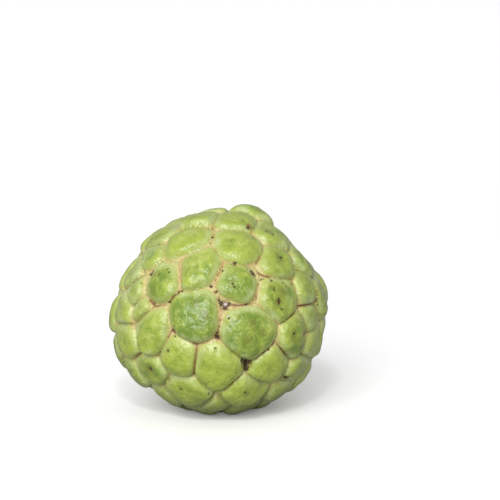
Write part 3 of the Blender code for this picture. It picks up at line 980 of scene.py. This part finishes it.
def dome_green(m):
    """Green of the domes: between two greens by areole, patch and fleck, with lighter and olive
    parts where they are marked."""
    patch = m.plus(m.times(m.look("tone"), 0.55), m.times(m.noise(*BROAD_NOISE), 0.3))
    patch = m.plus(patch, m.sway(m.middling, 1.6))
    patch = m.plus(patch, m.sway(m.fine, 0.6))
    green = m.mix(m.span(patch, -0.05, 0.85), DEEP_GREEN, LEAF_GREEN)
    fleck = m.plus(m.times(m.fine, 0.6), m.times(m.grain, 0.5))
    green = m.mix(m.span(fleck, 0.54, 0.74, 0, 0.5), green, LIGHT_GREEN)
    green = m.mix(m.span(fleck, 0.5, 0.36, 0, 0.4), green, DEEP_GREEN)
    uneven = m.span(m.fine, 0.3, 0.6, 0.5, 1)
    green = m.mix(m.times(m.marked(LIGHT_MARKS, *LIGHT_SHOWS), uneven), green, LIGHT_GREEN)
    return m.mix(m.times(m.marked(OLIVE_MARKS, *OLIVE_SHOWS), uneven), green, OLIVE)


def add_rim(m, skin):
    """Paler toward the furrow, the skin's own colour, and paler still on the side turned to the stalk,
    which faces up: a painted highlight on the lit upper edges.
    """
    reach = m.plus(m.inset, m.sway(m.middling, 3.0))
    # Painted highlight: the side of each areole turned to the stalk, which faces up, is made paler
    reach = m.plus(reach, m.times(m.look("below"), 0.5))
    return m.mix(m.times(m.span(reach, 0.3, 3.2, 1, 0), 0.65), skin, PALE_RIM_AND_HIGHLIGHT)


def add_bloom(m, skin):
    """Whitish bloom on the shoulders of the domes, in patches, and thick where it is marked. Returns
    the thick part too."""
    haze = m.times(m.span(m.inset, 0.1, 0.9), m.span(m.inset, 1.2, 2.8, 1, 0))
    haze = m.times(haze, m.span(m.noise(*HAZE_NOISE), 0.42, 0.62))
    thick = m.marked(BLOOM_MARKS, *BLOOM_SHOWS)
    thick = m.times(thick, m.span(m.inset, 4.0, 1.5, 0.35, 1))
    haze = m.larger(m.times(haze, 0.45), m.times(thick, 0.6))
    return m.mix(haze, skin, BLOOM), thick


def add_furrows(m, skin, thick):
    """The furrow's band, cream to tan and fainter under thick bloom, and its thin brown line with
    stains along it. Returns the band too."""
    wider = m.span(m.noise(*WIDER_NOISE), 0.4, 0.62, 0, 0.7)
    ragged = m.math("SUBTRACT", m.sway(m.fine, 1.2), m.times(wider, m.unseen))
    band = m.span(m.plus(m.inset, ragged), -0.1, 0.8, 1, 0)
    warm = m.span(m.noise(*WARM_NOISE), 0.45, 0.65, 0, 0.45)
    warm = m.larger(warm, m.marked(TAN_MARKS, *TAN_SHOWS))
    bottom = m.mix(warm, CREAM, TAN)
    bottom = m.mix(m.span(m.grain, 0.52, 0.72, 0, 0.5), bottom, BROWN)
    skin = m.mix(m.times(band, m.math("MULTIPLY_ADD", thick, -0.35, 0.85)), skin, bottom)

    stroke = m.look("stroke")
    broken = m.times(m.span(m.noise(*BREAK_NOISE), 0.5, 0.66), m.unseen)
    broken = m.larger(broken, stroke)
    line = m.span(m.plus(m.sway(m.grain, 0.6), m.furrow), 0.0, 0.42, 1, 0)
    skin = m.mix(m.times(line, m.math("MULTIPLY_ADD", broken, 0.7, 0.2)), skin, BROWN)
    stain = m.times(m.span(m.plus(m.furrow, m.grain), 0.5, 1.4, 1, 0), stroke)
    return m.mix(m.times(stain, 0.75), skin, BROWN), band


def add_underside_shade_and_cork(m, skin):
    """Dull and olive round the spot that it rests on, as painted shade of the underside; corky round the
    stalk.
    """
    # Painted shade: the underside is darkened toward olive
    underside_shade = m.times(m.look("low"), m.span(m.middling, 0.3, 0.6, 0.5, 1))
    skin = m.mix(m.times(underside_shade, 0.7), skin, UNDERSIDE_SHADE)
    scar = m.times(m.look("seat"), m.span(m.middling, 0.35, 0.6, 0.45, 1))
    cork = m.mix(m.span(m.grain, 0.4, 0.6), TAN, BROWN)
    return m.mix(m.times(scar, 0.85), skin, cork)


def add_blemishes(m, skin):
    """Brown corky patches, then dark pits and specks, scattered by a rule on the hidden side, and
    bare pale scars with one painted highlight, a glint. Returns the marked dark and the scattered dots
    too."""
    corky = m.times(m.marked(BROWN_MARKS, *BROWN_SHOWS), m.span(m.grain, 0.3, 0.6, 0.3, 1))
    skin = m.mix(corky, skin, BROWN)
    speck = m.spots(SPECK_SPACING, SPECK_SEED)
    some = m.times(m.span(m.middling, 0.46, 0.58), m.unseen)
    dot = m.times(m.span(speck, 0.13, 0.21, 0.9, 0), some)
    halo = m.times(m.span(speck, 0.18, 0.42, 0.5, 0), some)
    skin = m.mix(halo, skin, OLIVE)
    dark = m.plus(m.placed(DARK_MARKS, DARK_WAVER), m.sway(m.grain, 1.0))
    dark = m.span(dark, 0.12, 0.55, 0, 0.9)
    skin = m.mix(m.larger(dark, dot), skin, DARK)
    # Bare pale scars, and one painted highlight: a glint beside the dark pit at the lower right
    return m.mix(m.marked(SCAR_AND_GLINT_MARKS, *SCAR_AND_GLINT_SHOWS), skin, PALE_SCAR_AND_GLINT), dark, dot


def add_gloss(m, skin, band, dark, dot):
    """The waxy gloss, duller in the furrows and on dark marks, and the relief of fine pebbles."""
    m.give("Base Color", m.mix(1.0, skin, SKIN_SHARE, "MULTIPLY"))
    m.give("Specular IOR Level", 0.43)
    dull = m.larger(m.times(band, 0.7), m.larger(dark, dot))
    rough = m.span(m.fine, 0.3, 0.7, 0.28, 0.44)
    m.give("Roughness", m.larger(rough, m.times(dull, 0.75)))
    m.give("Coat Weight", m.math("MULTIPLY_ADD", dull, -0.34, 0.36))
    m.give("Coat Roughness", 0.2)
    m.give("Subsurface Weight", 0.1)
    m.give("Subsurface Radius", (1.0, 1.1, 0.35))
    m.give("Subsurface Scale", 1.5 * MM)
    pebbles = m.plus(m.fine, m.times(m.grain, 0.35))
    pebbles = m.math("SUBTRACT", pebbles, m.times(dark, 0.6))
    relief = m.bump(pebbles, SKIN_RELIEF)
    m.give("Normal", relief)
    m.give("Coat Normal", relief)


def skin_material(middle, stretch):
    """The skin's material, laid on layer by layer from the green outwards."""
    m = Skin(middle, stretch)
    skin, thick = add_bloom(m, add_rim(m, dome_green(m)))
    skin, band = add_furrows(m, skin, thick)
    skin, dark, dot = add_blemishes(m, add_underside_shade_and_cork(m, skin))
    add_gloss(m, skin, band, dark, dot)
    return m.material


def stalk_material():
    """Grey-brown bark with fine cracks, and a paler cut end with flecks."""
    m = Shading("stalk_bark")
    grain = m.noise(*BARK_NOISE)
    bark = m.mix(m.span(grain, 0.35, 0.65), *BARK)
    wood = m.mix(m.span(m.noise(*WOOD_NOISE), 0.35, 0.65), *WOOD)
    m.give("Base Color", m.mix(m.look("cut"), bark, wood))
    m.give("Roughness", 0.8)
    m.give("Normal", m.bump(grain, BARK_RELIEF))
    return m.material


def box_fit(points):
    """Where the fruit's middle lies, and the small stretch along each axis, that let points given from
    the middle just fill the box of the solids, level with its floor."""
    low, high = points.min(0), points.max(0)
    box_low, box_high = np.array(cad_box)
    box_low, box_high = box_low + BOX_CLEARANCE, box_high - BOX_CLEARANCE
    stretch = (box_high - box_low) / (high - low)
    middle = box_low - low * stretch
    stretch[2] = box_high[2] / (MIDDLE_HEIGHT + high[2])
    middle[2] = MIDDLE_HEIGHT * stretch[2]
    return middle, stretch


def make_skin():
    """The fruit's skin on the cube grid, cut level where it rests. Returns the piece and its middle."""
    u, cells = cube_grid(GRID_STEPS)
    u = settle_on_furrows(u, *areole_layout())
    radius, looks = skin_surface(u)
    cells = halve_cells(cells, looks["furrow"])
    middle, stretch = box_fit(u * radius[:, None])
    points = middle + u * radius[:, None] * stretch
    points[:, 2] = np.maximum(points[:, 2], 0)
    piece = mesh_piece("fruit_skin", points, cells, looks)
    piece.data.materials.append(skin_material(middle, stretch))
    return piece, middle


def stub_triangles(rings, around):
    """Triangles between rings of points, where the first ring and the last are one point each: every
    four-cornered cell is halved, and the halves that have no width are left out."""
    here = np.arange(rings * around).reshape(rings, around)
    here[0] = here[0, 0]
    here[-1] = here[-1, 0]
    there = np.roll(here, -1, axis=1)
    cells = np.concatenate([np.stack([here[:-1], there[:-1], there[1:]], -1).reshape(-1, 3),
                            np.stack([here[:-1], there[1:], here[1:]], -1).reshape(-1, 3)])
    return cells[(cells != np.roll(cells, 1, axis=1)).all(1)]


def make_stalk(middle):
    """The stub of the stalk: a round profile carried along the stalk's axis. Its radius swells at the
    foot and wavers round it in ribs, and rings run in to the middle of the cut end and of the foot."""
    bark = np.linspace(0, 1, STUB_RINGS)
    end = np.linspace(STUB_END_EDGE, 0, STUB_END_RINGS)
    share = np.concatenate([np.zeros(len(STUB_FOOT)), bark, np.ones(len(end))])
    inner = np.concatenate([STUB_FOOT, np.ones(len(bark)), end])
    turn = np.linspace(0, 2 * math.pi, STUB_AROUND, endpoint=False)
    along, angle = np.meshgrid(share, turn, indexing="ij")
    width = STUB_WAIST + STUB_SWELL * np.exp(-(along / STUB_SWELL_REACH) ** 2) + STUB_FLARE * along
    for number, height, twist, start in STUB_RIBS:
        width = width + height * np.sin(number * angle + twist * along + start)
    radius = STALK_RADIUS * width * inner[:, None]
    side = unit(np.cross(STALK, RIGHT))
    other = np.cross(STALK, side)
    lift = SEAT_HEIGHT + STALK_GAP + along * STALK_LENGTH
    points = (middle + lift[..., None] * STALK + (radius * np.cos(angle))[..., None] * side
              + (radius * np.sin(angle))[..., None] * other)
    cut = np.zeros(angle.shape)
    cut[-len(end):] = 1
    used, cells = np.unique(stub_triangles(len(share), STUB_AROUND), return_inverse=True)
    looks = {"cut": cut.ravel()[used]}
    piece = mesh_piece("stalk_stub", points.reshape(-1, 3)[used], cells.reshape(-1, 3), looks)
    piece.data.materials.append(stalk_material())
    return piece


def make_floor():
    """A wide floor that fills the picture, lifted to white for the eye as in a brightened photograph."""
    bpy.ops.mesh.primitive_plane_add(size=FLOOR_WIDTH)
    floor = bpy.context.object
    floor.name = "floor"
    m = Shading("floor")
    seen = m.node("ShaderNodeLightPath").outputs["Is Camera Ray"]
    m.give("Base Color", m.mix(seen, FLOOR_IN_BOUNCES, FLOOR_SEEN))
    m.give("Roughness", 0.8)
    m.give("Specular IOR Level", 0.1)
    m.give("Emission Color", WHITE)
    m.give("Emission Strength", m.times(seen, FLOOR_LIFT))
    floor.data.materials.append(m.material)


def aim(thing, target):
    """Turns a lamp or the camera so that it looks at the target with its top up."""
    way = unit(np.asarray(target, float) - np.asarray(thing.location))
    right = unit(np.cross(way, (0, 0, 1)))
    up = np.cross(right, way)
    turned = np.stack([right, up, -way], 1)
    thing.rotation_euler = Matrix(turned.tolist()).to_euler()


def make_lamp(name, kind, strength, place, target):
    """A lamp turned to the target. Returns its light."""
    light = bpy.data.lights.new(name, kind)
    light.energy = strength
    lamp = bpy.data.objects.new(name, light)
    bpy.context.scene.collection.objects.link(lamp)
    lamp.location = place
    aim(lamp, target)
    return light


def make_camera(middle):
    """The eye, at its distance, turned so that the fruit's middle shows where the picture has it."""
    camera = bpy.data.cameras.new("camera")
    camera.sensor_width = SENSOR_WIDTH
    camera.lens = SENSOR_WIDTH / 2 * EYE_DISTANCE / (HALF_PICTURE * PIXEL_SIZE)
    camera.clip_start = NEAREST_SEEN
    eye = bpy.data.objects.new("camera", camera)
    bpy.context.scene.collection.objects.link(eye)
    eye.location = middle + TOWARD * EYE_DISTANCE
    offset = from_view(-MIDDLE_RIGHT_PIXELS * PIXEL_SIZE, -MIDDLE_UP_PIXELS * PIXEL_SIZE, 0.0)
    aim(eye, middle + offset)
    bpy.context.scene.camera = eye


def make_studio(middle):
    """White surroundings, a broad soft lamp from above and in front, and a small one for the gloss."""
    world = bpy.data.worlds.new("studio")
    world.use_nodes = True
    surroundings = world.node_tree.nodes["Background"]
    surroundings.inputs["Color"].default_value = (*WHITE, 1)
    surroundings.inputs["Strength"].default_value = SURROUNDINGS_STRENGTH
    bpy.context.scene.world = world
    bpy.context.scene.view_settings.view_transform = "Standard"
    panel = make_lamp("sky_panel", "SUN", PANEL_STRENGTH, middle + np.array(PANEL_PLACE), middle)
    panel.angle = PANEL_SPREAD
    gloss = make_lamp("gloss", "AREA", GLOSS_WATTS, GLOSS_PLACE, middle)
    gloss.size = GLOSS_WIDTH


skin, fruit_middle = make_skin()
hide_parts("fruit")
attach(skin, "root")
stub = make_stalk(fruit_middle)
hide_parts("stalk")
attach(stub, "root")
make_floor()
make_camera(fruit_middle)
make_studio(fruit_middle)
